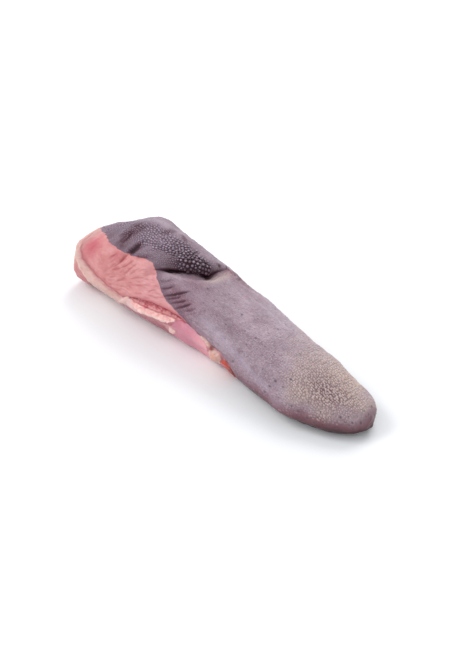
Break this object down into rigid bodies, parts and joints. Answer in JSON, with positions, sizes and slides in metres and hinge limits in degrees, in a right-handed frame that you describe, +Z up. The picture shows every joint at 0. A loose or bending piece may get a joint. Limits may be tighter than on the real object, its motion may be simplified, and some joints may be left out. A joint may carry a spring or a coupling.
{
  "type": "raw beef tongue",
  "caption": "Whole untrimmed raw beef tongue lying on its cut underside, with a raised hump and a deep fold behind the long tapering blade.",
  "frame": {"origin": "middle of the footprint, on the surface the tongue lies on", "axes": "+X from the cut root towards the tip, +Y across, +Z up"},
  "size_m": [0.3242, 0.0926, 0.0665],
  "materials": {
    "tongue_flesh": "moist grey-mauve skin over pink flesh and pale fat"
  },
  "bodies": {
    "root": {"tongue": "tongue_flesh"}
  },
  "joints": []
}
